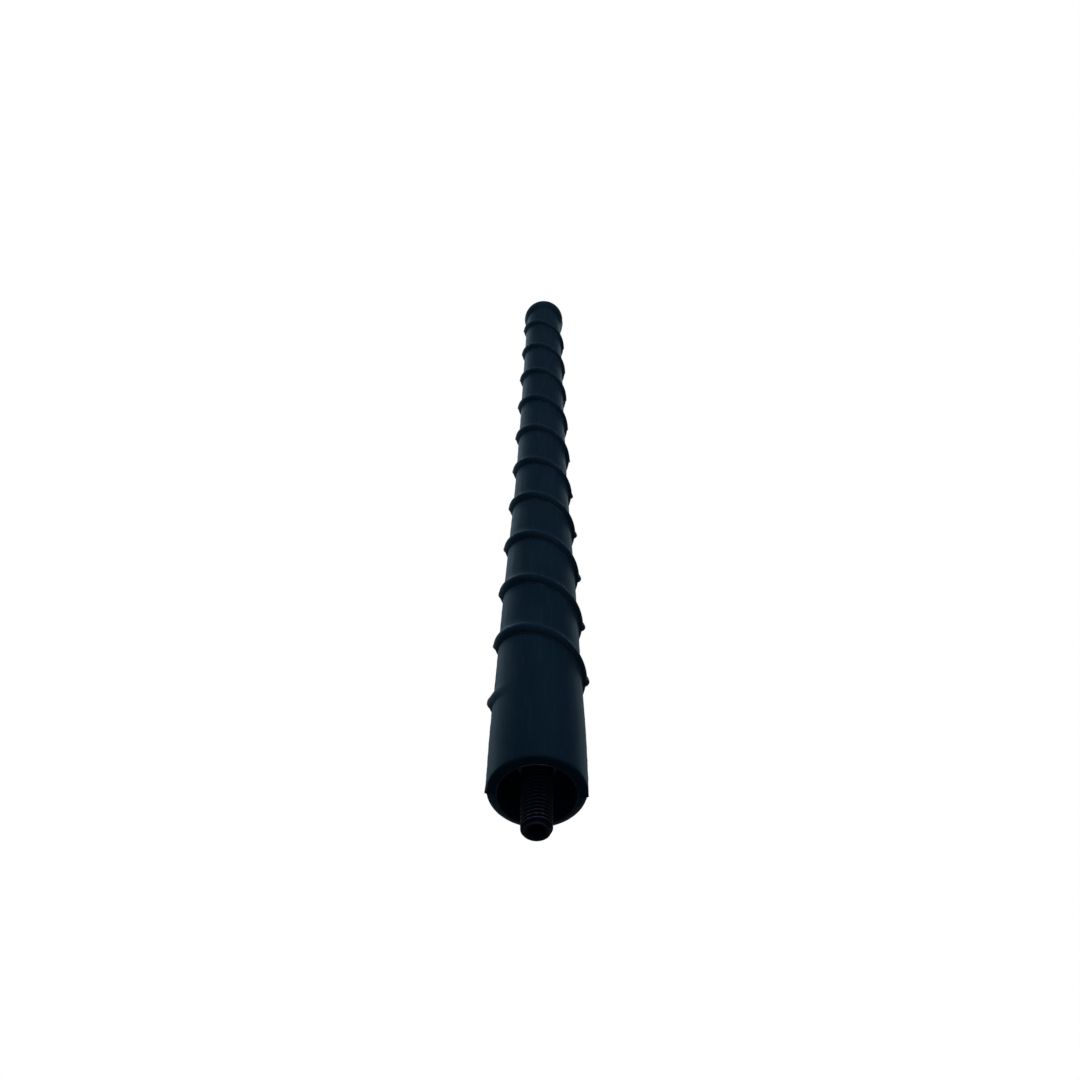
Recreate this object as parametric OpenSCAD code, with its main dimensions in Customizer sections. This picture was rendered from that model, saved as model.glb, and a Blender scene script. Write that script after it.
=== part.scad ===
// Car mast aerial: a tapering moulded rubber mast with one helical rib and a ball tip.
// A hexagon-socket stud stands out of the hollow skirt at its foot.
// Millimetres. +Z runs up the mast from the rim of the skirt (z = 0) to the tip.
// The side that faces -Y is the front. The mould parts along the X axis, at +X and -X.

/* [Mast] */
// Length from the rim of the skirt to the tip
mast_len = 200; // [190:1:215]
// Diameter of the collar at the rim
base_d = 16; // [15.5:0.1:18]
// Diameter of the ball at the tip
ball_d = 10.7; // [10.4:0.1:12]
// Radial width of the rounding outside the rim, on the front half of the mould
front_lip_width = 0.7; // [0.3:0.1:1.2]
// Height of that rounding
front_lip_height = 0.6; // [0.3:0.1:1.2]
// Radial width of the slope outside the rim, on the rear half of the mould
rear_lip_width = 1.5; // [0.8:0.1:1.5]
// Height of that slope
rear_lip_height = 1.3; // [0.6:0.1:1.5]

/* [Rib] */
// Rise of the rib in one turn
rib_pitch = 16.3; // [14:0.1:18]
// Height of the crest of the rib at its first full turn, at -X
rib_first = 21.2; // [20.5:0.1:24]
// How far the rib stands out at its lower end
rib_height_low = 1; // [0.6:0.05:1.4]
// How far the rib stands out under the ball
rib_height_top = 0.8; // [0.4:0.05:1]
// Width of the flank that faces the skirt
rib_near_flank = 1.6; // [1:0.1:2.2]
// Width of the flank that faces the tip
rib_far_flank = 2.2; // [1.4:0.1:3]
// How far the rib runs steeper than a true helix on the front half, at its lower end
rib_skew_low = 0.5; // [0:0.1:1]
// The same under the ball
rib_skew_top = 1.3; // [0:0.1:1.6]
// How far the rear half of the mould is shifted towards the tip
mould_step = 1.2; // [0:0.1:1.5]

/* [Skirt] */
// Diameter of the recess in the skirt
recess_d = 12.5; // [11.5:0.1:12.8]
// Depth of the recess
recess_depth = 8; // [7.5:0.1:9]

/* [Stud] */
// Outside diameter of the thread
stud_d = 5; // [4:0.5:6]
// Pitch diameter of the thread, at which the engaged part is drawn
stud_pitch_d = 4.48; // [3.5:0.01:5.35]
// Length of the stud
stud_len = 25; // [22:1:25]
// How far the stud stands out of the skirt
stud_out = 7.7; // [6.8:0.1:8]
// Width of the chamfer at each end
stud_chamfer = 0.55; // [0.3:0.05:0.9]
// Width across the flats of the socket
socket_af = 2.5; // [2:0.5:3]
// Depth of the socket
socket_depth = 3; // [2:0.1:4]

/* [Ferrule] */
// Height of the nose face that the stud stands out of
ferrule_z = 7; // [6.5:0.1:7.4]
// Diameter of the nose
nose_d = 7.2; // [6.6:0.1:8]
// Diameter of the flange that keys into the rubber
flange_d = 10.4; // [9.6:0.1:10.8]
// Diameter of the groove round the flange
groove_d = 8.6; // [7.8:0.1:9]
// Width across the two flats milled on the flange
flange_flats = 9; // [8.6:0.1:9.4]
// Diameter of the barrel that holds the rod
barrel_d = 8.4; // [7.6:0.1:8.6]
// Height of the top face of the barrel
barrel_top = 35; // [34:0.5:36]

/* [Core] */
// Diameter of the glass-fibre rod
rod_d = 4; // [3.6:0.1:4]
// Height of the top end of the rod
rod_top = 190; // [187:0.5:192]
// Diameter of the wire
wire_d = 0.6; // [0.4:0.05:0.6]
// Rise of the winding in one turn
wire_pitch = 3; // [2.9:0.1:3.2]
// Number of turns in the winding
wire_turns = 48; // [30:1:48]
// Wall of the sleeve over the winding
sleeve_wall = 0.35; // [0.25:0.05:0.4]

/* [Hidden] */
$fn = 64;

rubber = [0.06, 0.08, 0.11];
black_steel = [0.09, 0.09, 0.11];
plated = [0.62, 0.61, 0.57];
glass_fibre = [0.86, 0.84, 0.72];
copper = [0.72, 0.36, 0.18];
shrink_tube = [0.16, 0.16, 0.17];
solder = [0.70, 0.71, 0.73];

// Taper of the mast: share of its length, share of its base diameter
taper = [[0, 1], [0.075, 0.991], [0.11, 0.96], [0.15, 0.93], [0.25, 0.879], [0.35, 0.81],
         [0.485, 0.708], [0.65, 0.655], [0.80, 0.62], [0.94, 0.582], [1, 0.57]];

// The outside of the jacket is one skin of columns round the mast and rows that follow the rib.
columns = 32;
rib_rows = [-1, -0.6, -0.2, 0.2, 0.6, 1];
gap_rows = [1/3, 2/3];
rows = len(rib_rows) + len(gap_rows);
// Heights of the plain rings below and above the rows
collar_ring = 8;
top_ring = mast_len - 8.5;
row_squeeze = 0.12;
lip_steps = 4;
ball_steps = 7;
// How far below the top ring the last turn of rows ends
strip_end = 1.5;
// Roundness of the rib's section: 1 is a plain cosine
rib_roundness = 1.3;
// The rib grows from nothing between these two angles of its path
fade_from = 125;
fade_to = 185;
ball_z = mast_len - ball_d / 2;
step_angle = 360 / columns;
last_column = floor((top_ring - strip_end + rib_near_flank - rib_line(0)) / rib_pitch * columns);

function body_r(z) = base_d / 2 * lookup(z / mast_len, taper);
function ball_r(z) = let (dz = z - ball_z) abs(dz) < ball_d / 2 ? sqrt(ball_d * ball_d / 4 - dz * dz) : 0;
function share(z) = z / mast_len;
function blend(low, top, z) = low + (top - low) * share(z);

// Height of the crest at a path angle that grows by 360 degrees for each turn.
// 0 is at +X, 90 at the front, 180 at -X and 270 at the rear.
function rear(a) = min(1, max(0, -sin(a) / sin(step_angle)));
function rib_line(a) =
    let (helix = rib_first + rib_pitch * (a / 360 - 0.5))
    helix - blend(rib_skew_low, rib_skew_top, helix) * cos(a) + mould_step * rear(a);
function fade(a) = let (t = min(1, max(0, (a - fade_from) / (fade_to - fade_from)))) t * t * (3 - 2 * t);

// How far the rib stands out at a height and a place round the mast
function rib_out(z, a) =
    let (turn = round((z - rib_line(a)) / rib_pitch),
         path = a + 360 * turn,
         d = z - rib_line(path),
         x = d < 0 ? -d / rib_near_flank : d / rib_far_flank)
    x < 1 ? blend(rib_height_low, rib_height_top, z) * fade(path) * pow(cos(90 * x), rib_roundness) : 0;
function skin_r(z, a) = max(body_r(z) + rib_out(z, a), ball_r(z));
function skin_point(z, a) = let (r = skin_r(z, a)) [r * cos(a), -r * sin(a), z];

// Height of row j in column i. The columns count on from turn to turn, and the first turn,
// with i below 0, leads in from the collar without a rib.
function low_edge(i) = rib_line(i * step_angle) - rib_near_flank;
function high_edge(i) = rib_line(i * step_angle) + rib_far_flank;
function free_row(i, j) =
    i < 0 ? collar_ring + (low_edge(i + columns) - collar_ring) * (j + 1) / (rows + 1)
    : j < len(rib_rows)
        ? rib_line(i * step_angle) + rib_rows[j] * (rib_rows[j] < 0 ? rib_near_flank : rib_far_flank)
        : high_edge(i) + (low_edge(i + columns) - high_edge(i)) * gap_rows[j - len(rib_rows)];
function row_z(i, j) = min(free_row(i, j), top_ring - row_squeeze * (rows - j));

function wrap(i) = (i % columns + columns) % columns;
function ring_points(z) = [for (i = [0 : columns - 1]) skin_point(z, i * step_angle)];
function plain_ring(r, z) =
    [for (i = [0 : columns - 1]) [r * cos(i * step_angle), -r * sin(i * step_angle), z]];

// The lip goes from a rounding on the front half to a straight slope on the rear half.
function mix(front, back, share) = front + (back - front) * share;
function lip_point(t, a) =
    let (share = rear(a),
         in_share = mix(sin(90 * t), t, share),
         up_share = mix(1 - cos(90 * t), t, share),
         r = base_d / 2 - mix(front_lip_width, rear_lip_width, share) * (1 - in_share))
    [r * cos(a), -r * sin(a), mix(front_lip_height, rear_lip_height, share) * up_share];
lip_rings = [for (k = [0 : lip_steps])
    [for (i = [0 : columns - 1]) lip_point(k / lip_steps, i * step_angle)]];
ball_start = acos((top_ring - ball_z) / (ball_d / 2));
ball_rings = [for (k = [1 : ball_steps - 1]) let (a = ball_start * (1 - k / ball_steps))
    plain_ring(ball_d / 2 * sin(a), ball_z + ball_d / 2 * cos(a))];
low_points = [for (ring = lip_rings, p = ring) p];
row_points = [for (i = [-columns : last_column], j = [0 : rows - 1]) skin_point(row_z(i, j), i * step_angle)];
high_points = concat(ring_points(top_ring), [for (ring = ball_rings, p = ring) p], [[0, 0, mast_len]]);

row_base = len(low_points) + columns;
high_base = row_base + len(row_points);
function low_id(k, i) = k * columns + wrap(i);
function row_id(i, j) = row_base + (i + columns) * rows + j;
function high_id(k, i) = high_base + k * columns + wrap(i);
function quad(a, b, c, d) = [[a, b, c], [a, c, d]];

module mast_skin() {
    collar = lip_steps + 1;
    tip = high_base + len(high_points) - 1;
    lowest = [for (i = [0 : columns - 1]) low_id(0, i)];
    lip = [for (k = [0 : lip_steps], i = [0 : columns - 1])
        each quad(low_id(k, i), low_id(k, i + 1), low_id(k + 1, i + 1), low_id(k + 1, i))];
    // From the collar's ring up to the first turn of rows, which closes on itself with a fan
    start = [for (i = [-columns : -2])
        each quad(low_id(collar, i), low_id(collar, i + 1), row_id(i + 1, 0), row_id(i, 0))];
    start_fan = concat(
        [[row_id(-1, 0), low_id(collar, -1), low_id(collar, 0)]],
        [[row_id(-1, 0), low_id(collar, 0), row_id(-columns, 0)]],
        [for (j = [0 : rows - 2]) [row_id(-1, 0), row_id(-columns, j), row_id(-columns, j + 1)]],
        [[row_id(-1, 0), row_id(-columns, rows - 1), row_id(0, 0)]]);
    strip = [for (i = [-columns : last_column - 1], j = [0 : rows - 2])
        each quad(row_id(i, j), row_id(i + 1, j), row_id(i + 1, j + 1), row_id(i, j + 1))];
    joins = [for (i = [-columns : last_column - columns - 1])
        each quad(row_id(i, rows - 1), row_id(i + 1, rows - 1), row_id(i + 1 + columns, 0),
                  row_id(i + columns, 0))];
    // From the last turn of rows up to the ring under the ball
    seam = last_column - columns;
    end = [for (i = [seam + 1 : last_column - 1])
        each quad(row_id(i, rows - 1), row_id(i + 1, rows - 1), high_id(0, i + 1), high_id(0, i))];
    end_fan = concat(
        [[high_id(0, seam + 1), high_id(0, seam), row_id(last_column, rows - 1)]],
        [for (j = [rows - 1 : -1 : 1])
            [high_id(0, seam + 1), row_id(last_column, j), row_id(last_column, j - 1)]],
        [[high_id(0, seam + 1), row_id(last_column, 0), row_id(seam, rows - 1)]],
        [[high_id(0, seam + 1), row_id(seam, rows - 1), row_id(seam + 1, rows - 1)]]);
    ball = [for (k = [0 : ball_steps - 2], i = [0 : columns - 1])
        each quad(high_id(k, i), high_id(k, i + 1), high_id(k + 1, i + 1), high_id(k + 1, i))];
    crown = [for (i = [0 : columns - 1]) [high_id(ball_steps - 1, i), high_id(ball_steps - 1, i + 1), tip]];
    polyhedron(
        concat(low_points, ring_points(collar_ring), row_points, high_points),
        concat([[for (i = [columns - 1 : -1 : 0]) lowest[i]]], lip, start, start_fan, strip, joins, end,
               end_fan, ball, crown),
        convexity = 10);
}

// Turned outline of the ferrule
nose_length = 3;
flange_length = 10.5;
// From the low face of the flange to its groove, which is as deep as the milled flats are long
flat_length = 4;
groove_length = 2.5;
flange_low = ferrule_z + nose_length;
flange_high = flange_low + flange_length;
groove_low = flange_low + flat_length;
groove_high = groove_low + groove_length;
nose_chamfer = 0.3;
module ferrule_outside() {
    difference() {
        rotate_extrude()
            polygon([[0, ferrule_z], [nose_d / 2 - nose_chamfer, ferrule_z],
                     [nose_d / 2, ferrule_z + nose_chamfer], [nose_d / 2, flange_low],
                     [flange_d / 2, flange_low], [flange_d / 2, groove_low], [groove_d / 2, groove_low],
                     [groove_d / 2, groove_high], [flange_d / 2, groove_high],
                     [flange_d / 2, flange_high], [barrel_d / 2, flange_high],
                     [barrel_d / 2, barrel_top], [0, barrel_top]]);
        for (side = [-1, 1])
            translate([side * (flange_flats / 2 + flange_d / 2), 0, (flange_low + groove_low) / 2])
                cube([flange_d, 2 * flange_d, groove_low - flange_low], center = true);
    }
}

// The sleeve grips the barrel at its foot, lies over the winding, and shrinks on to the rod on top.
// Room between the rod and the wire, and between the wire and the sleeve
rod_room = 0.12;
sleeve_room = 0.08;
wire_r = (rod_d + wire_d) / 2 + rod_room;
sleeve_foot = 28;
shoulder_low = barrel_top + 1.8;
shoulder_high = barrel_top + 3.6;
winding_low = barrel_top + 2.2;
winding_high = winding_low + wire_turns * wire_pitch;
neck_low = winding_high + 0.6;
neck_high = neck_low + 1.2;
sleeve_top = neck_low + 3;
sleeve_r = wire_r + wire_d / 2 + sleeve_room;
rod_bottom = 20;
// The outside turns its shallow corners a little higher than the inside, which keeps the wall even.
corner_share = 1 / 3;
module sleeve_section(wall) {
    rise = wall * corner_share;
    polygon([[0, sleeve_foot], [barrel_d / 2 + wall, sleeve_foot], [barrel_d / 2 + wall, shoulder_low + rise],
             [sleeve_r + wall, shoulder_high + rise], [sleeve_r + wall, neck_low + rise],
             [rod_d / 2 + wall, neck_high + rise], [rod_d / 2 + wall, sleeve_top], [0, sleeve_top]]);
}

module rod_shape() {
    chamfer = 0.3;
    translate([0, 0, rod_bottom]) cylinder(d = rod_d, h = rod_top - rod_bottom - chamfer);
    translate([0, 0, rod_top - chamfer]) cylinder(r1 = rod_d / 2, r2 = rod_d / 2 - chamfer, h = chamfer);
}

module mast_jacket() {
    color(rubber) difference() {
        mast_skin();
        translate([0, 0, -1]) cylinder(d = recess_d, h = recess_depth + 1);
        ferrule_outside();
        rotate_extrude() sleeve_section(sleeve_wall);
        rod_shape();
    }
}

// Width of the socket's countersunk mouth as a share of the width across its flats
socket_mouth_share = 1.24;
module stud() {
    low = -stud_out;
    high = stud_len - stud_out;
    engaged_r = stud_pitch_d / 2;
    mouth_d = socket_mouth_share * socket_af;
    mouth_h = 0.35;
    past_end = 0.01;
    color(black_steel) difference() {
        union() {
            translate([0, 0, low])
                cylinder(r1 = stud_d / 2 - stud_chamfer, r2 = stud_d / 2, h = stud_chamfer);
            translate([0, 0, low + stud_chamfer])
                cylinder(d = stud_d, h = ferrule_z - low - stud_chamfer);
            translate([0, 0, ferrule_z]) cylinder(r = engaged_r, h = high - ferrule_z);
        }
        translate([0, 0, low - past_end]) rotate([0, 0, 30])
            cylinder(d = socket_af / cos(30), h = socket_depth + past_end, $fn = 6);
        translate([0, 0, low - past_end]) cylinder(d1 = mouth_d, d2 = socket_af, h = mouth_h, $fn = 32);
    }
}

module base_ferrule() {
    drill_room = 0.5;
    mouth_r = stud_d / 2 + 0.1;
    mouth_h = mouth_r - stud_pitch_d / 2;
    color(plated) difference() {
        ferrule_outside();
        translate([0, 0, ferrule_z - 1])
            cylinder(d = stud_pitch_d, h = stud_len - stud_out - ferrule_z + drill_room + 1);
        translate([0, 0, ferrule_z]) cylinder(r1 = mouth_r, r2 = stud_pitch_d / 2, h = mouth_h);
        translate([0, 0, rod_bottom]) cylinder(d = rod_d, h = barrel_top);
    }
}

module core_rod() {
    color(glass_fibre) rod_shape();
}

// The wire rises straight out of its solder bead, bends over and runs round the rod.
wire_sides = 6;
turn_steps = 12;
wire_foot = barrel_top + 0.3;
bead_h = 1.3;
bead_r = 1;
bead_x = rod_d / 2 + bead_r + 0.1;
function wire_point(centre, out, side) =
    [for (k = [0 : wire_sides - 1]) let (a = 360 * k / wire_sides)
        centre + wire_d / 2 * (cos(a) * out - sin(a) * side)];
function helix_ring(i) =
    let (a = 360 * i / turn_steps,
         slope = atan(wire_pitch / (2 * PI * wire_r)),
         out = [cos(a), sin(a), 0],
         side = [sin(a) * sin(slope), -cos(a) * sin(slope), cos(slope)])
    wire_point([wire_r * cos(a), wire_r * sin(a), winding_low + wire_pitch * i / turn_steps], out, -side);
module wire_winding() {
    lead = [wire_point([wire_r, 0, wire_foot], [1, 0, 0], [0, 1, 0]),
            wire_point([wire_r, 0, barrel_top + bead_h + 0.1], [1, 0, 0], [0, 1, 0]),
            wire_point([wire_r, 0, winding_low], [1, 0, 0], [0, sqrt(0.5), -sqrt(0.5)])];
    rings = concat(lead, [for (i = [1 : wire_turns * turn_steps]) helix_ring(i)]);
    n = len(rings);
    color(copper) polyhedron(
        [for (ring = rings, p = ring) p],
        concat([[for (k = [wire_sides - 1 : -1 : 0]) k]],
               [for (i = [0 : n - 2], k = [0 : wire_sides - 1]) let (next = (k + 1) % wire_sides)
                   each quad(i * wire_sides + k, i * wire_sides + next,
                             (i + 1) * wire_sides + next, (i + 1) * wire_sides + k)],
               [[for (k = [0 : wire_sides - 1]) (n - 1) * wire_sides + k]]),
        convexity = 10);
}

module winding_sleeve() {
    color(shrink_tube) rotate_extrude() difference() {
        sleeve_section(sleeve_wall);
        sleeve_section(0);
    }
}

module solder_joint() {
    color(solder) difference() {
        translate([bead_x, 0, barrel_top]) cylinder(r = bead_r, h = bead_h, $fn = 32);
        translate([wire_r, 0, wire_foot]) cylinder(d = wire_d, h = bead_h, $fn = wire_sides);
    }
}

mast_jacket();
stud();
base_ferrule();
core_rod();
wire_winding();
winding_sleeve();
solder_joint();
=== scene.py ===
import math

import bmesh
import bpy
import numpy as np
from mathutils import Matrix, Vector


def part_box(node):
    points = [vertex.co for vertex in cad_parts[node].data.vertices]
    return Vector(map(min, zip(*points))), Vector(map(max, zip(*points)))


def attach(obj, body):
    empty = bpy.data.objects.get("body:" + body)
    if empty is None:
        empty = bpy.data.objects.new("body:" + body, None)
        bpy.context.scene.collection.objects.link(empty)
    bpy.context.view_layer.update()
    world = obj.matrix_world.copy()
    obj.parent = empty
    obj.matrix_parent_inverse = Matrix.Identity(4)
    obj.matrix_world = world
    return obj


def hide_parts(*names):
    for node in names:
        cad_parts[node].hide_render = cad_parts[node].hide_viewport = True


# Looks of the car mast aerial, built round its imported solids.
# The shapes below are worked out in millimetres and become metres when a mesh is made.
# +Z runs from the rim of the skirt to the tip, and the front faces -Y.
# An angle round the mast is 0 at +X, 90 at the front, 180 at -X and 270 at the rear.

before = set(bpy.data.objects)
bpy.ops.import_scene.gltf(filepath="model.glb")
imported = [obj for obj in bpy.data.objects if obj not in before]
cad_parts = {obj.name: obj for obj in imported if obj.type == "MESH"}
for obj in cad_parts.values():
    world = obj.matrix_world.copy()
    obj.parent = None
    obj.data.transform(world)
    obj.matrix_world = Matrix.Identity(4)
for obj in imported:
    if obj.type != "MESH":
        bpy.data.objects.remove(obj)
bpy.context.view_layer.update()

MM = 0.001
# Keeps a division away from zero
TINY = 0.001

# The mast, as its solid has it
JACKET_LOW, JACKET_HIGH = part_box("mast_jacket")
LENGTH = (JACKET_HIGH.z - JACKET_LOW.z) / MM
COLLAR_R = 8.0
BALL_R = 5.35
BALL_Z = LENGTH - BALL_R
# Share of the length, share of the collar's radius
TAPER = ((0, 1), (0.075, 0.991), (0.11, 0.96), (0.15, 0.93), (0.25, 0.879), (0.35, 0.81),
         (0.485, 0.708), (0.65, 0.655), (0.80, 0.62), (0.94, 0.582), (1, 0.57))
TAPER_EASE = 6.0
TAPER_SAMPLES = 9
NECK_EASE = 0.35
# Height over which the body gives way to the ball, below the ball's centre
NECK_FADE = 1.5

# The rib
RIB_PITCH = 16.3
RIB_FIRST = 21.2
RIB_HEIGHT_LOW = 1.0
RIB_HEIGHT_TOP = 0.8
RIB_NEAR_FLANK = 1.6
RIB_FAR_FLANK = 2.2
# Roundness of each flank: 1 is a plain cosine, and less is fuller with a steeper foot
NEAR_ROUNDNESS = 0.85
FAR_ROUNDNESS = 1.3
RIB_SKEW_LOW = 0.5
RIB_SKEW_TOP = 1.3
FADE_FROM = 125
FADE_TO = 185

# The mould: its rear half sits higher, and the joint of the halves left flash
MOULD_STEP = 1.2
PARTING_ANGLES = (-2.7, 177.3)
STEP_HALF_WIDTH = 1.1
BEAD_HEIGHT_RIGHT = 0.36
BEAD_HEIGHT_LEFT = 0.04
BEAD_FROM = 130
BEAD_FULL = 60
BEAD_HALF_WIDTH = 0.7
BEAD_PLATEAU = 1.4
# How fast the bead grows with the height of the rib
BEAD_GAIN = 1.8
FLASH_HEIGHT = 0.10
FLASH_FOOT_LEFT = 0.14
FLASH_FOOT_RIGHT = -0.03
FLASH_FOOT_RISE = 4.0
FLASH_HALF_WIDTH = 0.2
FLASH_PLATEAU = 1.3
FLASH_ON_BALL = 0.2
REAR_INSET = 0.07
# The flash is uneven: its mean share, and the size, the rate and the start of each wave
RAGGED_MEAN = 0.6
RAGGED_WAVES = ((0.2, 1.7, 0.4), (0.12, 4.3, 1.9), (0.08, 9.1, 0))

# The lip: rounded on the front half, cut back to a slope on the rear half
FRONT_LIP_WIDTH = 0.7
FRONT_LIP_HEIGHT = 0.6
REAR_LIP_WIDTH = 1.5
REAR_LIP_HEIGHT = 1.3
# How straight the slope is: 0 is round and 1 is a plain chamfer
REAR_LIP_STRAIGHT = 0.8
LIP_STEPS = 9
INNER_EDGE = 0.2
EDGE_STEPS = 4
# The flash fills the rounding of the front half where the halves meet
CORNER_FILL = 0.85
CORNER_HALF_WIDTH = 0.35
CORNER_PLATEAU = 1.4

# The recess, and the hollow that holds the ferrule, the sleeve and the rod
RECESS_R = 6.25
RECESS_DEPTH = 8.0
RECESS_FILLET = 0.4
FILLET_STEPS = 4
WALL_RINGS = 9
NOSE_R = 3.6
FLANGE_R = 5.2
FLANGE_FLAT = 4.5
GROOVE_R = 4.3
BARREL_R = 4.2
SLEEVE_FOOT_R = 4.55
SLEEVE_R = 3.15
SLEEVE_NECK_R = 2.35
ROD_R = 2.0
ROD_CHAMFER = 0.3
FLANGE_LOW = 10.0
GROOVE_LOW = 14.0
GROOVE_HIGH = 16.5
FLANGE_HIGH = 20.5
SLEEVE_FOOT = 28.0
SHOULDER_LOW = 36.9
SHOULDER_HIGH = 38.7
NECK_LOW = 181.9
NECK_HIGH = 183.1
SLEEVE_TOP = 184.8
ROD_TOP = 190.0
# Radius and height of each corner of the hollow's section
HOLLOW = ((NOSE_R, RECESS_DEPTH), (NOSE_R, FLANGE_LOW), (FLANGE_R, FLANGE_LOW), (FLANGE_R, GROOVE_LOW),
          (GROOVE_R, GROOVE_LOW), (GROOVE_R, GROOVE_HIGH), (FLANGE_R, GROOVE_HIGH),
          (FLANGE_R, FLANGE_HIGH), (BARREL_R, FLANGE_HIGH), (BARREL_R, SLEEVE_FOOT),
          (SLEEVE_FOOT_R, SLEEVE_FOOT), (SLEEVE_FOOT_R, SHOULDER_LOW), (SLEEVE_R, SHOULDER_HIGH),
          (SLEEVE_R, NECK_LOW), (SLEEVE_NECK_R, NECK_HIGH), (SLEEVE_NECK_R, SLEEVE_TOP),
          (ROD_R, SLEEVE_TOP), (ROD_R, ROD_TOP - ROD_CHAMFER), (ROD_R - ROD_CHAMFER, ROD_TOP))

# Fineness of the skin. Its columns stand closer within the reach of a parting line, in degrees.
COARSE_STEP = 2.5
FINE_STEP = 0.55
FINE_REACH = 6.0
LAST_ANGLE = 359.9
FLANK_ROWS = 15
GAP_ROWS = 8
COLLAR_RING = 8.0
COLLAR_RINGS = 10
TOP_RING = LENGTH - 8.5
NECK_STEP = 0.25
BALL_RINGS = 24
ROW_SQUEEZE = 0.03
# How far below the top ring the last turn of rows ends
STRIP_END = 1.5


def smooth(t):
    t = np.clip(t, 0, 1)
    return t * t * (3 - 2 * t)


def bell(distance, half_width, plateau):
    """1 in the middle and 0 at the half width, with a flat middle where the plateau is above 1."""
    return smooth(plateau - plateau * distance / half_width)


def radians(angle):
    return np.radians(angle)


def body_radius(z):
    """Radius of the plain mast, with the corners of its taper eased."""
    shares, sizes = zip(*TAPER)
    offsets = np.linspace(-TAPER_EASE, TAPER_EASE, TAPER_SAMPLES)
    heights = [np.interp((z + d) / LENGTH, shares, sizes) for d in offsets]
    return COLLAR_R * sum(heights) / len(offsets)


def ball_radius(z):
    return np.sqrt(np.maximum(BALL_R ** 2 - (z - BALL_Z) ** 2, 0))


def soft_max(a, b, ease):
    """The larger of two values, rounded off where they come within the ease of each other."""
    near = np.maximum(ease - np.abs(a - b), 0) / ease
    return np.maximum(a, b) + near ** 2 * ease / 4


def along(low, top, z):
    """A value that changes evenly from the rim to the tip."""
    return low + (top - low) * z / LENGTH


def from_parting(angle):
    """Angle to the nearer parting line."""
    offsets = [(angle - line + 180) % 360 - 180 for line in PARTING_ANGLES]
    return np.where(np.abs(offsets[0]) < np.abs(offsets[1]), offsets[0], offsets[1])


def rear_share(angle):
    """0 on the front half of the mould and 1 on the rear half."""
    side = np.sin(radians(angle - PARTING_ANGLES[0]))
    return smooth(0.5 - side / (2 * math.sin(radians(STEP_HALF_WIDTH))))


def rib_line(path):
    """Height of the crest at a path angle that grows by 360 for each turn."""
    helix = RIB_FIRST + RIB_PITCH * (path / 360 - 0.5)
    skew = along(RIB_SKEW_LOW, RIB_SKEW_TOP, helix) * np.cos(radians(path))
    return helix - skew + MOULD_STEP * rear_share(path)


def rib_fade(path):
    """The rib grows from nothing at its lower end."""
    return smooth((path - FADE_FROM) / (FADE_TO - FADE_FROM))


def rib_share(z, angle):
    """How far up the rib's own section a point lies: 0 beside the rib, 1 on its crest."""
    turn = np.round((z - rib_line(angle)) / RIB_PITCH)
    path = angle + 360 * turn
    off = z - rib_line(path)
    across = np.where(off < 0, -off / RIB_NEAR_FLANK, off / RIB_FAR_FLANK)
    roundness = np.where(off < 0, NEAR_ROUNDNESS, FAR_ROUNDNESS)
    return rib_fade(path) * np.maximum(np.cos(radians(90 * np.minimum(across, 1))), 0) ** roundness


def ragged(z):
    """An uneven share between about 0.2 and 1 for the flash."""
    return RAGGED_MEAN + sum(size * np.sin(rate * z + start) for size, rate, start in RAGGED_WAVES)


def flash(z, angle, rib):
    """What the joint of the mould adds: a low fin, and a bead where it crosses the rib."""
    arc = np.abs(radians(from_parting(angle))) * body_radius(z)
    left = np.cos(radians(angle)) < 0
    bead = np.where(left, BEAD_HEIGHT_LEFT, BEAD_HEIGHT_RIGHT)
    bead = bead * smooth((BEAD_FROM - z) / (BEAD_FROM - BEAD_FULL))
    foot = np.where(left, FLASH_FOOT_LEFT, FLASH_FOOT_RIGHT)
    foot = foot * smooth((FLASH_FOOT_RISE - z) / FLASH_FOOT_RISE)
    fin = (FLASH_HEIGHT * ragged(z) + foot) * bell(arc, FLASH_HALF_WIDTH, FLASH_PLATEAU)
    return bead * bell(arc, BEAD_HALF_WIDTH, BEAD_PLATEAU) * smooth(BEAD_GAIN * rib) + fin


def skin_radius(z, angle):
    rib = rib_share(z, angle)
    body = body_radius(z) + along(RIB_HEIGHT_LOW, RIB_HEIGHT_TOP, z) * rib
    below_ball = smooth((BALL_Z - z) / NECK_FADE)
    plain = soft_max(body * below_ball, ball_radius(z), NECK_EASE * below_ball + TINY)
    inset = REAR_INSET * rear_share(angle) * below_ball
    flash_share = FLASH_ON_BALL + (1 - FLASH_ON_BALL) * below_ball
    return plain + flash(z, angle, rib) * flash_share - inset


def column_angles():
    """Angles of the columns: close together at the parting lines, wider between them."""
    angles = []
    angle = 0.0
    while angle < LAST_ANGLE:
        angles.append(angle)
        near = abs(from_parting(angle)) < FINE_REACH
        angle += FINE_STEP if near else COARSE_STEP
    return np.array(angles)


ANGLES = column_angles()
COLUMNS = len(ANGLES)
RIB_ROWS = np.concatenate([np.linspace(-1, 0, FLANK_ROWS)[:-1], np.linspace(0, 1, FLANK_ROWS)])
ROWS = len(RIB_ROWS) + GAP_ROWS


def row_shares():
    """Where the rows lie between the foot of the rib and that of the next turn."""
    rib = np.where(RIB_ROWS < 0, RIB_NEAR_FLANK, RIB_FAR_FLANK) * RIB_ROWS + RIB_NEAR_FLANK
    gap = np.linspace(rib[-1], RIB_PITCH, GAP_ROWS + 2)[1:-1]
    return np.concatenate([rib, gap]) / RIB_PITCH


def path_angle(i):
    return ANGLES[i % COLUMNS] + 360 * (i // COLUMNS)


def low_edge(i):
    return rib_line(path_angle(i)) - RIB_NEAR_FLANK


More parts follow.
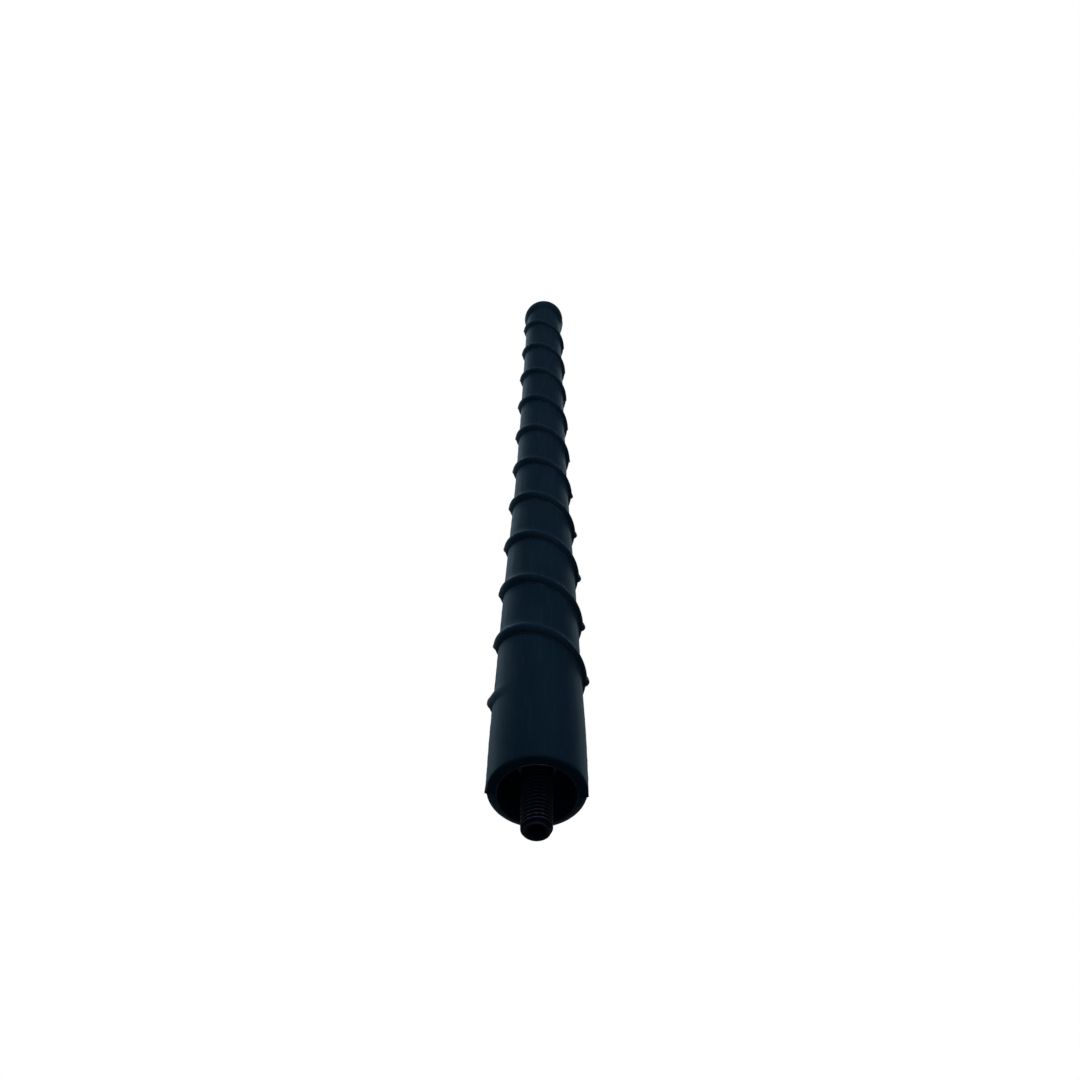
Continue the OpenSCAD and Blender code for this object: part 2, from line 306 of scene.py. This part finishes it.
def strip_heights(columns):
    """Heights of all rows in the given columns, which count on from turn to turn."""
    i = columns[:, None]
    even = np.arange(ROWS) / ROWS
    close = smooth(path_angle(i) / FADE_FROM)
    shares = even + (row_shares() - even) * close
    turn = low_edge(i) + (low_edge(i + COLUMNS) - low_edge(i)) * shares
    lead = COLLAR_RING + (low_edge(i + COLUMNS) - COLLAR_RING) * (np.arange(ROWS) + 1) / (ROWS + 1)
    free = np.where(i < 0, lead, turn)
    return np.minimum(free, TOP_RING - ROW_SQUEEZE * (ROWS - np.arange(ROWS)))


def points_at(radius, angle, z):
    """Points round the axis, where each argument is one number or an array of them."""
    turn = radians(angle)
    return np.stack(np.broadcast_arrays(radius * np.cos(turn), -radius * np.sin(turn), z), axis=-1)


def ring(radius, z):
    """One ring of points, where the radius or the height may change round the mast."""
    return points_at(radius, ANGLES, z)


def skin_ring(z):
    return ring(skin_radius(z, ANGLES), z)


def lip_rings():
    """From the bottom of the lip out and up to the outside of the skirt."""
    rear = rear_share(ANGLES)
    arc = np.abs(radians(from_parting(ANGLES))) * COLLAR_R
    open_share = 1 - CORNER_FILL * bell(arc, CORNER_HALF_WIDTH, CORNER_PLATEAU) * (1 - rear)
    width = (FRONT_LIP_WIDTH + (REAR_LIP_WIDTH - FRONT_LIP_WIDTH) * rear) * open_share
    height = (FRONT_LIP_HEIGHT + (REAR_LIP_HEIGHT - FRONT_LIP_HEIGHT) * rear) * open_share
    rings = []
    for k in range(LIP_STEPS + 1):
        t = k / LIP_STEPS
        round_in, round_up = math.sin(math.pi / 2 * t), 1 - math.cos(math.pi / 2 * t)
        in_share = round_in + (t - round_in) * REAR_LIP_STRAIGHT * rear
        up_share = round_up + (t - round_up) * REAR_LIP_STRAIGHT * rear
        z = height * up_share
        outer = skin_radius(z, ANGLES)
        rings.append(ring(outer - width * (1 - in_share), z))
    return rings


def quarter_turn(steps):
    """Evenly spaced angles from 0 to a quarter of a turn."""
    return [math.pi / 2 * k / steps for k in range(steps + 1)]


def recess_rings():
    """From the inner edge of the lip up the wall of the recess and over the fillet to its floor."""
    rings = [ring(RECESS_R + INNER_EDGE * (1 - math.sin(a)), INNER_EDGE * (1 - math.cos(a)))
             for a in quarter_turn(EDGE_STEPS)]
    for z in np.linspace(INNER_EDGE, RECESS_DEPTH - RECESS_FILLET, WALL_RINGS)[1:]:
        rings.append(ring(RECESS_R, z))
    for a in quarter_turn(FILLET_STEPS)[1:]:
        rings.append(ring(RECESS_R - RECESS_FILLET * (1 - math.cos(a)),
                          RECESS_DEPTH - RECESS_FILLET * (1 - math.sin(a))))
    return rings


def hollow_rings():
    """The hollow above the floor of the recess, where the ferrule, the sleeve and the rod sit."""
    flat = FLANGE_FLAT / np.maximum(np.abs(np.cos(radians(ANGLES))), TINY)
    rings = []
    for r, z in HOLLOW:
        milled = FLANGE_LOW <= z <= GROOVE_LOW and r == FLANGE_R
        rings.append(ring(np.minimum(r, flat) if milled else r, z))
    return rings


def ring_numbers(base, rings):
    """Point numbers of the given rings, counted on from the base."""
    n = len(rings[0])
    return [[base + k * n + i for i in range(n)] for k in range(len(rings))]


def tube(rings):
    """Quads between each ring of point numbers and the next."""
    faces = []
    for low, high in zip(rings, rings[1:]):
        n = len(low)
        faces += [(low[i], low[(i + 1) % n], high[(i + 1) % n], high[i]) for i in range(n)]
    return faces


def cap(around, point):
    """Triangles between a ring of point numbers and one point."""
    return [(around[i], around[(i + 1) % len(around)], point) for i in range(len(around))]


def make_object(name, points, faces, material, sharp_angle):
    """A smooth object, apart from the edges that turn by more than the sharp angle."""
    mesh = bpy.data.meshes.new(name)
    mesh.from_pydata((points * MM).tolist(), [], faces)
    mesh.validate()
    mesh.shade_smooth()
    mesh.set_sharp_from_angle(angle=math.radians(sharp_angle))
    mesh.materials.append(material)
    piece = bpy.data.objects.new(name, mesh)
    bpy.context.scene.collection.objects.link(piece)
    shape = bmesh.new()
    shape.from_mesh(mesh)
    bmesh.ops.recalc_face_normals(shape, faces=shape.faces)
    shape.to_mesh(mesh)
    shape.free()
    return piece


def mark(piece, name, values):
    """Stores one number for each point, for the piece's material to read."""
    layer = piece.data.attributes.new(name, "FLOAT", "POINT")
    layer.data.foreach_set("value", np.array(values, np.float32))


# Where the rubber is painted pale, partly as wear and partly as a painted highlight: a little all round the
# recess's edge, and fully at its front as a painted glint, which starts at this sine of the angle and takes
# the ease to get there
ROUND_WEAR_AND_GLINT = 0.15
FRONT_GLINT_FROM = 0.87
FRONT_GLINT_EASE = 0.1
# A thin painted highlight runs along the foot of the rib too, brightest at the middle angle
FOOT_ROW = 1
FOOT_GLINT = 0.16
FOOT_MIDDLE = 45
FOOT_BASE = 0.1
FOOT_GAIN = 1.2
JACKET_SHARP = 35


def wear_and_painted_glint(angles, strip_base, high_base, count):
    """One number for each point of the jacket: 0 is untouched, and 1 is painted pale, mostly as a painted
    highlight and partly as wear.
    """
    edge = np.zeros(count)
    lip_base = 1 + (len(HOLLOW) + len(recess_rings())) * COLUMNS
    front = smooth((np.sin(radians(ANGLES)) - FRONT_GLINT_FROM) / FRONT_GLINT_EASE)
    rounding = slice(lip_base - EDGE_STEPS * COLUMNS, lip_base - COLUMNS)
    edge[rounding] = np.tile(ROUND_WEAR_AND_GLINT + (1 - ROUND_WEAR_AND_GLINT) * front, EDGE_STEPS - 1)
    path = angles[:, FOOT_ROW]
    foot = np.zeros(angles.shape)
    side = smooth(FOOT_BASE + FOOT_GAIN * np.cos(radians(path - FOOT_MIDDLE)))
    foot[:, FOOT_ROW] = FOOT_GLINT * (rib_fade(path) * side)
    edge[strip_base:high_base] = foot.ravel()
    return edge


def jacket_rings():
    """The rings below the strip, from the hollow's end to the collar, and those above, up to the tip."""
    low_rings = hollow_rings()[::-1] + recess_rings()[::-1] + lip_rings()
    low_rings += [skin_ring(z) for z in np.linspace(REAR_LIP_HEIGHT, COLLAR_RING, COLLAR_RINGS)[1:]]
    neck = np.arange(TOP_RING, BALL_Z, NECK_STEP)
    start = math.acos((neck[-1] - BALL_Z) / BALL_R)
    ball = [BALL_Z + BALL_R * math.cos(a) for a in np.linspace(start, 0, BALL_RINGS)[1:-1]]
    high_rings = [skin_ring(z) for z in [*neck, *ball]]
    return low_rings, high_rings


def strip_faces(strip_base, collar, top, last):
    """The faces from the collar up the turns of the strip to the ring under the ball."""
    n = COLUMNS
    seam = last - n
    end = ROWS - 1

    def row(i, j):
        return strip_base + (i + n) * ROWS + j

    # From the collar up to the first turn of rows, closed by a fan
    faces = [(collar[i % n], collar[(i + 1) % n], row(i + 1, 0), row(i, 0)) for i in range(-n, -1)]
    edge = [collar[-1], collar[0]] + [row(-n, j) for j in range(ROWS)] + [row(0, 0)]
    faces += [(row(-1, 0), a, b) for a, b in zip(edge, edge[1:])]
    # The strip itself, and the joins of each turn to the next
    for i in range(-n, last):
        faces += [(row(i, j), row(i + 1, j), row(i + 1, j + 1), row(i, j + 1)) for j in range(end)]
    faces += [(row(i, end), row(i + 1, end), row(i + 1 + n, 0), row(i + n, 0)) for i in range(-n, seam)]
    # From the last turn of rows up to the ring under the ball, closed by a fan
    faces += [(row(i, end), row(i + 1, end), top[(i + 1) % n], top[i % n]) for i in range(seam + 1, last)]
    edge = [top[seam % n]] + [row(last, j) for j in range(end, -1, -1)]
    edge += [row(seam, end), row(seam + 1, end)]
    faces += [(top[(seam + 1) % n], a, b) for a, b in zip(edge, edge[1:])]
    return faces


def make_jacket(material):
    low_rings, high_rings = jacket_rings()
    last = 0
    while low_edge(last) < TOP_RING - STRIP_END:
        last += 1
    columns = np.arange(-COLUMNS, last + 1)
    heights = strip_heights(columns)
    angles = path_angle(columns)[:, None] + np.zeros(ROWS)
    strip = points_at(skin_radius(heights, angles), angles, heights)
    points = np.concatenate([[[0, 0, ROD_TOP]], *low_rings, strip.reshape(-1, 3), *high_rings,
                             [[0, 0, LENGTH]]])

    strip_base = 1 + len(low_rings) * COLUMNS
    high_base = strip_base + heights.size
    low = ring_numbers(1, low_rings)
    high = ring_numbers(high_base, high_rings)
    faces = cap(low[0][::-1], 0) + tube(low) + strip_faces(strip_base, low[-1], high[0], last)
    faces += tube(high) + cap(high[-1], len(points) - 1)
    jacket = make_object("jacket_skin", points, faces, material, JACKET_SHARP)

    crest = np.zeros(len(points))
    crest[strip_base:high_base] = rib_share(heights, angles).ravel()
    mark(jacket, "crest", crest)
    mark(jacket, "wear_and_painted_glint", wear_and_painted_glint(angles, strip_base, high_base, len(points)))
    return jacket


# The stud: an M5 set screw with a hexagon socket
STUD_LOW, STUD_HIGH = (corner.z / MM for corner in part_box("stud"))
FERRULE_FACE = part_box("base_ferrule")[0].z / MM
THREAD_R = 2.5
THREAD_PITCH = 0.8
THREAD_DEPTH = 0.49
# Shares of half a pitch: the flat of the crest, and the flank below it
CREST_FLAT = 0.125
FLANK_WIDTH = 0.625
ENGAGED_R = 2.24
STUD_CHAMFER = 0.55
SOCKET_FLAT = 1.25
SOCKET_DEPTH = 3.0
SOCKET_MOUTH_R = 1.55
SOCKET_MOUTH_DEPTH = 0.35
MOUTH_STEPS = 6
STUD_COLUMNS = 96
THREAD_ROWS = 14
STUD_SHARP = 28
# Where the oxide is painted bright, partly as wear and partly as a painted highlight: within these bands of
# the thread's crests and of the edge at the end, and at the edge by less than a row of the thread
CREST_BAND = 0.12
RIM_BAND = 0.05
RIM_ROWS = 0.6
# The painted highlight falls to one share higher up, where the skirt shades the stud, and to another away
# from the front, which faces the light; the front starts at this sine of the angle
HIGHLIGHT_ABOVE = 0.5
HIGHLIGHT_UP_TO = 3
HIGHLIGHT_EASE = 2
HIGHLIGHT_SIDES = 0.45
HIGHLIGHT_FRONT = 0.6
HIGHLIGHT_FRONT_EASE = 0.3


def thread_radius(z, angle):
    """A right-hand 60 degree thread with a flat crest and a wider root."""
    phase = (z / THREAD_PITCH + angle / 360) % 1
    off_crest = np.abs(phase - 0.5) * 2
    return THREAD_R - THREAD_DEPTH * np.clip((off_crest - CREST_FLAT) / FLANK_WIDTH, 0, 1)


def hexagon_radius(angle):
    """The socket's wall, with flats at +X and -X and corners at the front and rear."""
    return SOCKET_FLAT / np.cos(radians((angle + 30) % 60 - 30))


def crest_wear_and_highlight(points):
    """One number for each point of the stud: 0 is untouched, and 1 is worn most and carries the most
    painted highlight.
    """
    x, y, z = points.T
    reach = np.hypot(x, y)
    at_end = z < STUD_LOW + RIM_ROWS * THREAD_PITCH / THREAD_ROWS
    rim = at_end & (reach > THREAD_R - STUD_CHAMFER - RIM_BAND)
    crest = np.maximum(smooth((reach - THREAD_R + CREST_BAND) / CREST_BAND), rim)
    near_end = smooth((STUD_LOW + HIGHLIGHT_UP_TO - z) / HIGHLIGHT_EASE)
    front = smooth((-y / np.maximum(reach, TINY) - HIGHLIGHT_FRONT) / HIGHLIGHT_FRONT_EASE)
    crest = crest * (HIGHLIGHT_ABOVE + (1 - HIGHLIGHT_ABOVE) * near_end)
    return crest * (HIGHLIGHT_SIDES + (1 - HIGHLIGHT_SIDES) * front)


def stud_levels(angles):
    """Radius and height of each ring, from the end of the socket out of its mouth and up the thread."""
    hexagon = hexagon_radius(angles)
    levels = [(hexagon, STUD_LOW + SOCKET_DEPTH)]
    for k in range(MOUTH_STEPS, -1, -1):
        mouth = SOCKET_MOUTH_R - (SOCKET_MOUTH_R - SOCKET_FLAT) * k / MOUTH_STEPS
        levels.append((np.maximum(hexagon, mouth), STUD_LOW + SOCKET_MOUTH_DEPTH * k / MOUTH_STEPS))
    for z in np.arange(STUD_LOW, FERRULE_FACE, THREAD_PITCH / THREAD_ROWS):
        chamfer = THREAD_R - STUD_CHAMFER + z - STUD_LOW
        levels.append((np.minimum(thread_radius(z, angles), chamfer), z))
    levels.append((thread_radius(FERRULE_FACE, angles), FERRULE_FACE))
    return levels + [(ENGAGED_R, FERRULE_FACE), (ENGAGED_R, STUD_HIGH)]


def make_stud(material):
    angles = np.linspace(0, 360, STUD_COLUMNS, endpoint=False)
    rings = [points_at(radius, angles, z) for radius, z in stud_levels(angles)]
    points = np.concatenate([[[0, 0, STUD_LOW + SOCKET_DEPTH]], *rings, [[0, 0, STUD_HIGH]]])
    numbers = ring_numbers(1, rings)
    faces = cap(numbers[0][::-1], 0) + tube(numbers) + cap(numbers[-1], len(points) - 1)
    stud = make_object("threaded_stud", points, faces, material, STUD_SHARP)
    mark(stud, "crest", crest_wear_and_highlight(points))
    return stud


# Materials. Most values of a noise lie in its middle range.
NOISE_MIDDLE = (0.3, 0.7)
RUBBER_DARK = (0.0029, 0.0096, 0.0182)
RUBBER_LIGHT = (0.0041, 0.0122, 0.0222)
FLOW_STREAK = (0.0075, 0.0185, 0.031)
DUST = (0.020, 0.027, 0.034)
# Pale colour of the painted highlight, with a little wear, on the recess's edge and the rib's foot
PALE_GLINT_RUBBER = (0.26, 0.26, 0.30)
OXIDE_DARK = (0.0006, 0.0022, 0.0068)
OXIDE_LIGHT = (0.0014, 0.0036, 0.0095)
# Colour of the worn oxide together with its painted highlight
OXIDE_WORN_AND_LIT = (0.085, 0.095, 0.120)
NICKEL = (0.50, 0.48, 0.42)
NICKEL_DULL = (0.34, 0.32, 0.27)
NOSE_DARK = (0.013, 0.014, 0.016)
NOSE_DARK_LOW = 8.0
NOSE_DARK_HIGH = 9.5
RESIN = (0.62, 0.62, 0.46)
STRAND = (0.76, 0.75, 0.60)
LACQUER = (1.0, 0.72, 0.42)
COPPER_LIGHT = (0.72, 0.30, 0.14)
COPPER_DARK = (0.55, 0.20, 0.09)
TUBE_DARK = (0.014, 0.014, 0.016)
TUBE_LIGHT = (0.024, 0.024, 0.026)
TIN = (0.62, 0.63, 0.65)
FLUX = (0.42, 0.38, 0.30)
FLOOR_DARK = (0.23, 0.22, 0.22)
FLOOR_LIGHT = (0.25, 0.24, 0.24)
FLOOR_UNSEEN = (0.14, 0.14, 0.14)
FLOOR_GLOW_DARK = (0.98, 0.98, 0.98)
FLOOR_GLOW_LIGHT = (1.0, 1.0, 1.0)
FLOOR_GLOW = 0.66


class Look:
    """A node material. Its textures are placed in millimetres, so a noise's scale counts for each one."""

    def __init__(self, name, levels):
        self.material = bpy.data.materials.new(name)
        self.material.use_nodes = True
        self.tree = self.material.node_tree
        self.shader = self.tree.nodes["Principled BSDF"]
        for socket, value in levels.items():
            self.plug(socket, value)
        place = self.add("TexCoord", {}).outputs["Object"]
        self.place = self.add("VectorMath", {0: place, "Scale": 1 / MM}, operation="SCALE").outputs[0]

    def add(self, kind, inputs, **settings):
        """Adds a node with its settings, and feeds its inputs."""
        node = self.tree.nodes.new("ShaderNode" + kind)
        for name, value in settings.items():
            setattr(node, name, value)
        for socket, value in inputs.items():
            self.feed(node.inputs[socket], value)
        return node

    def feed(self, socket, value):
        """Links a socket to another node's output, or sets it to a number, a vector or a colour."""
        if isinstance(value, bpy.types.NodeSocket):
            self.tree.links.new(value, socket)
        elif socket.type == "RGBA":
            socket.default_value = (*value, 1)
        else:
            socket.default_value = value

    def noise(self, scale, detail=3.0, rough=0.5, lengthwise=1):
        """Below 1, the lengthwise factor draws the pattern out along the mast."""
        place = self.place
        if lengthwise != 1:
            stretch = self.add("VectorMath", {0: place, 1: (1, 1, lengthwise)}, operation="MULTIPLY")
            place = stretch.outputs[0]
        node = self.add("TexNoise", {"Vector": place, "Scale": scale, "Detail": detail, "Roughness": rough})
        return node.outputs["Fac"]

    def spread(self, value, source=NOISE_MIDDLE, result=(0, 1)):
        """Maps a value from one range to another, and holds it there."""
        node = self.add("MapRange", {"Value": value, "From Min": source[0], "From Max": source[1],
                                     "To Min": result[0], "To Max": result[1]})
        return node.outputs["Result"]

    def mix(self, factor, first, second):
        """Blends two colours, which are sockets 6 and 7 of the node, with the result in output 2."""
        return self.add("Mix", {0: factor, 6: first, 7: second}, data_type="RGBA").outputs[2]

    def combine(self, first, second, operation):
        return self.add("Math", {0: first, 1: second}, operation=operation).outputs[0]

    def bump(self, height, depth, strength, under=None):
        node = self.add("Bump", {"Distance": depth * MM, "Strength": strength, "Height": height})
        if under is not None:
            self.feed(node.inputs["Normal"], under)
        return node.outputs["Normal"]

    def stored(self, name):
        return self.add("Attribute", {}, attribute_name=name).outputs["Fac"]

    def plug(self, socket, value):
        self.feed(self.shader.inputs[socket], value)


def rubber_material():
    """Moulded EPDM: near black with a cold cast, matt, with the fine grain of an eroded mould."""
    look = Look("moulded_rubber", {"Specular IOR Level": 0.004})
    cloud = look.spread(look.noise(scale=0.16, lengthwise=0.35))
    streaks = look.noise(scale=1.6, detail=4.0, rough=0.6, lengthwise=0.08)
    streaks = look.spread(streaks, source=(0.5, 0.75), result=(0, 0.55))
    specks = look.noise(scale=2.4, detail=6.0, rough=0.75)
    specks = look.spread(specks, source=(0.70, 0.80), result=(0, 0.25))
    uneven = look.spread(look.noise(scale=0.6), source=(0.4, 0.6), result=(0.4, 1.0))
    wear_and_glint = look.combine(look.stored("wear_and_painted_glint"), uneven, "MULTIPLY")
    colour = look.mix(cloud, RUBBER_DARK, RUBBER_LIGHT)
    colour = look.mix(streaks, colour, FLOW_STREAK)
    colour = look.mix(specks, colour, DUST)
    # The recess's pale edge and the line at the rib's foot are painted highlights, with a little wear round
    # the edge
    look.plug("Base Color", look.mix(wear_and_glint, colour, PALE_GLINT_RUBBER))
    flow = look.spread(look.noise(scale=1.1, detail=4.0, lengthwise=0.12), result=(0.58, 0.66))
    polish = look.spread(look.stored("crest"), source=(0.55, 1.0), result=(0.0, -0.04))
    look.plug("Roughness", look.combine(flow, polish, "ADD"))
    waves = look.bump(look.noise(scale=0.45, detail=2.0), depth=0.05, strength=0.5)
    grain = look.noise(scale=5.5, detail=2.0, rough=0.6)
    look.plug("Normal", look.bump(grain, depth=0.012, strength=0.6, under=waves))
    return look.material


def oxide_material():
    """Black oxide on steel, painted brighter along the crests of the thread, partly as wear and partly as a
    painted highlight.
    """
    look = Look("black_oxide_steel", {"Specular IOR Level": 0.015})
    cloud = look.noise(scale=1.3, detail=4.0)
    colour = look.mix(look.spread(cloud), OXIDE_DARK, OXIDE_LIGHT)
    # Worn crests and the end's edge carry a painted highlight, brightest at the front and near the end
    crest = look.spread(look.stored("crest"), source=(0.15, 1.0), result=(0, 0.7))
    uneven = look.spread(look.noise(scale=4.0), source=(0.35, 0.65), result=(0.2, 1.0))
    worn_and_lit = look.combine(crest, uneven, "MULTIPLY")
    look.plug("Base Color", look.mix(worn_and_lit, colour, OXIDE_WORN_AND_LIT))
    polish = look.spread(worn_and_lit, source=(0, 0.7), result=(0, -0.2))
    look.plug("Roughness", look.combine(look.spread(cloud, result=(0.54, 0.64)), polish, "ADD"))
    look.plug("Normal", look.bump(look.noise(scale=12.0), depth=0.004, strength=0.5))
    return look.material


def turned_material():
    """Nickel-plated brass with the fine rings of the lathe tool."""
    look = Look("nickel_plated_brass", {"Metallic": 1.0})
    rings = look.add("TexWave", {"Vector": look.place, "Scale": 2.2, "Distortion": 0.4},
                     wave_type="RINGS", rings_direction="Z")
    cloud = look.noise(scale=0.8, detail=4.0)
    plated = look.mix(look.spread(cloud, source=(0.35, 0.7)), NICKEL, NICKEL_DULL)
    height = look.add("SeparateXYZ", {0: look.place}).outputs["Z"]
    # The open nose below the floor of the recess is much darker, and the part inside the rubber is plain
    # plating
    above_nose = look.spread(height, source=(NOSE_DARK_LOW, NOSE_DARK_HIGH))
    look.plug("Base Color", look.mix(above_nose, NOSE_DARK, plated))
    look.plug("Roughness", look.spread(cloud, result=(0.38, 0.52)))
    look.plug("Normal", look.bump(rings.outputs["Fac"], depth=0.006, strength=0.6))
    return look.material


def glass_fibre_material():
    """Pulled glass fibre in resin: pale, slightly green, with strands along the rod."""
    look = Look("glass_fibre_rod", {"Subsurface Weight": 0.15, "Subsurface Scale": 0.5 * MM})
    strands = look.noise(scale=7.0, detail=4.0, rough=0.6, lengthwise=0.03)
    look.plug("Base Color", look.mix(look.spread(strands), RESIN, STRAND))
    look.plug("Roughness", look.spread(strands, result=(0.30, 0.48)))
    look.plug("Normal", look.bump(strands, depth=0.01, strength=0.5))
    return look.material


def copper_material():
    """Enamelled copper wire: clear amber lacquer over bright metal."""
    look = Look("enamelled_copper", {"Metallic": 1.0, "Coat Weight": 0.8, "Coat Roughness": 0.08,
                                     "Coat Tint": LACQUER})
    cloud = look.noise(scale=1.6)
    look.plug("Base Color", look.mix(look.spread(cloud), COPPER_LIGHT, COPPER_DARK))
    look.plug("Roughness", look.spread(cloud, result=(0.18, 0.30)))
    return look.material


def shrink_material():
    """Black heat-shrink tube: slightly glossy, with wrinkles left by the heat."""
    look = Look("heat_shrink_tube", {})
    wrinkles = look.noise(scale=0.9, detail=4.0, lengthwise=0.3)
    look.plug("Base Color", look.mix(look.spread(wrinkles), TUBE_DARK, TUBE_LIGHT))
    look.plug("Roughness", look.spread(wrinkles, result=(0.32, 0.48)))
    look.plug("Normal", look.bump(wrinkles, depth=0.08, strength=0.6))
    return look.material


def solder_material():
    """Tin solder: bright skin, dulled in patches by flux."""
    look = Look("tin_solder", {"Metallic": 1.0})
    flux = look.noise(scale=2.2, detail=4.0)
    look.plug("Base Color", look.mix(look.spread(flux, source=(0.35, 0.7)), TIN, FLUX))
    look.plug("Roughness", look.spread(flux, result=(0.22, 0.50)))
    look.plug("Normal", look.bump(look.noise(scale=3.0, detail=2.0), depth=0.03, strength=0.5))
    return look.material


def looked_at(tree):
    """1 where a surface is seen, mirrored or seen through glass, and 0 where it only gives light."""
    path = tree.nodes.new("ShaderNodeLightPath")
    value = path.outputs["Is Camera Ray"]
    for name in ("Is Glossy Ray", "Is Transmission Ray"):
        either = tree.nodes.new("ShaderNodeMath")
        either.operation = "MAXIMUM"
        tree.links.new(value, either.inputs[0])
        tree.links.new(path.outputs[name], either.inputs[1])
        value = either.outputs[0]
    return value


def floor_material():
    """Pale where it is looked at; it throws little light up, so that undersides stay dark."""
    look = Look("pale_floor", {"Roughness": 0.9, "Specular IOR Level": 0.1})
    tint = look.spread(look.noise(scale=0.004, detail=2.0))
    seen = looked_at(look.tree)
    look.plug("Base Color", look.mix(seen, FLOOR_UNSEEN, look.mix(tint, FLOOR_DARK, FLOOR_LIGHT)))
    look.plug("Emission Color", look.mix(tint, FLOOR_GLOW_DARK, FLOOR_GLOW_LIGHT))
    look.plug("Emission Strength", look.spread(seen, source=(0, 1), result=(0, FLOOR_GLOW)))
    return look.material


# Stage: floor, camera, lights and a plain white surround
FLOOR_Z = -0.25
FLOOR_HALF = 3.0
CAMERA_AT = Vector((0.00222, -0.13636, -0.14575))
CAMERA_FORWARD = Vector((-0.0090, 0.5251, 0.8510))
CAMERA_UP = Vector((0.0, -0.8511, 0.5251))
SENSOR = 36.0
FRAME_PIXELS = 1080
FOCAL_PIXELS = 1267.4
CLIP_START = 0.005
CLIP_END = 20
MAST_CENTRE = Vector((0, 0, 0.1))
SURROUND_LIGHT = 0.25
COOL = (0.80, 0.95, 1.0)
COOLER = (0.62, 0.89, 1.0)
# Name, direction from the middle of the mast, distance, width and height, power, colour
SOFTBOXES = (
    ("left_box", (-1.0, 0.60, 1.05), 0.7, (0.3, 0.9), 7.4, COOLER),
    ("right_box", (1.0, 0.95, 1.3), 0.8, (0.2, 0.9), 4.6, COOLER),
    ("front_fill", (0.1, -1.0, 0.55), 0.75, (0.6, 0.6), 5.1, COOL),
)


def make_floor():
    corners = [(-FLOOR_HALF, -FLOOR_HALF), (FLOOR_HALF, -FLOOR_HALF), (FLOOR_HALF, FLOOR_HALF),
               (-FLOOR_HALF, FLOOR_HALF)]
    mesh = bpy.data.meshes.new("floor")
    mesh.from_pydata([(x, y, FLOOR_Z) for x, y in corners], [], [(0, 1, 2, 3)])
    mesh.materials.append(floor_material())
    floor = bpy.data.objects.new("floor", mesh)
    bpy.context.scene.collection.objects.link(floor)


def make_camera():
    data = bpy.data.cameras.new("camera")
    data.sensor_width = SENSOR
    data.lens = SENSOR * FOCAL_PIXELS / FRAME_PIXELS
    data.clip_start = CLIP_START
    data.clip_end = CLIP_END
    camera = bpy.data.objects.new("camera", data)
    bpy.context.scene.collection.objects.link(camera)
    back = -CAMERA_FORWARD.normalized()
    right = CAMERA_UP.cross(back).normalized()
    up = back.cross(right)
    camera.matrix_world = Matrix.Translation(CAMERA_AT) @ Matrix((right, up, back)).transposed().to_4x4()
    bpy.context.scene.camera = camera


def make_softbox(name, direction, distance, size, power, colour):
    """A rectangular lamp in a direction from the middle of the mast, turned towards it."""
    data = bpy.data.lights.new(name, "AREA")
    data.shape = "RECTANGLE"
    data.size, data.size_y = size
    data.energy = power
    data.color = colour
    lamp = bpy.data.objects.new(name, data)
    bpy.context.scene.collection.objects.link(lamp)
    away = Vector(direction).normalized()
    lamp.location = MAST_CENTRE + away * distance
    lamp.rotation_mode = "QUATERNION"
    lamp.rotation_quaternion = away.to_track_quat("Z", "Y")
    lamp.visible_camera = False


def make_surround():
    """White where it is seen or mirrored, and a soft fill light for everything else."""
    world = bpy.data.worlds.new("surround")
    world.use_nodes = True
    bpy.context.scene.world = world
    nodes, links = world.node_tree.nodes, world.node_tree.links
    back = nodes["Background"]
    back.inputs["Color"].default_value = (1, 1, 1, 1)
    level = nodes.new("ShaderNodeMapRange")
    level.inputs["To Min"].default_value = SURROUND_LIGHT
    level.inputs["To Max"].default_value = 1.0
    links.new(looked_at(world.node_tree), level.inputs["Value"])
    links.new(level.outputs["Result"], back.inputs["Strength"])


def dress_cad_nodes():
    materials = {"base_ferrule": turned_material(), "core_rod": glass_fibre_material(),
                 "wire_winding": copper_material(), "winding_sleeve": shrink_material(),
                 "solder_joint": solder_material()}
    for name, material in materials.items():
        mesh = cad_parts[name].data
        mesh.materials.clear()
        mesh.materials.append(material)


make_camera()
jacket = make_jacket(rubber_material())
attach(jacket, "root")
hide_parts("mast_jacket")
stud = make_stud(oxide_material())
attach(stud, "root")
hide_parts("stud")
dress_cad_nodes()
make_floor()
make_surround()
for softbox in SOFTBOXES:
    make_softbox(*softbox)
bpy.context.scene.view_settings.view_transform = "Standard"
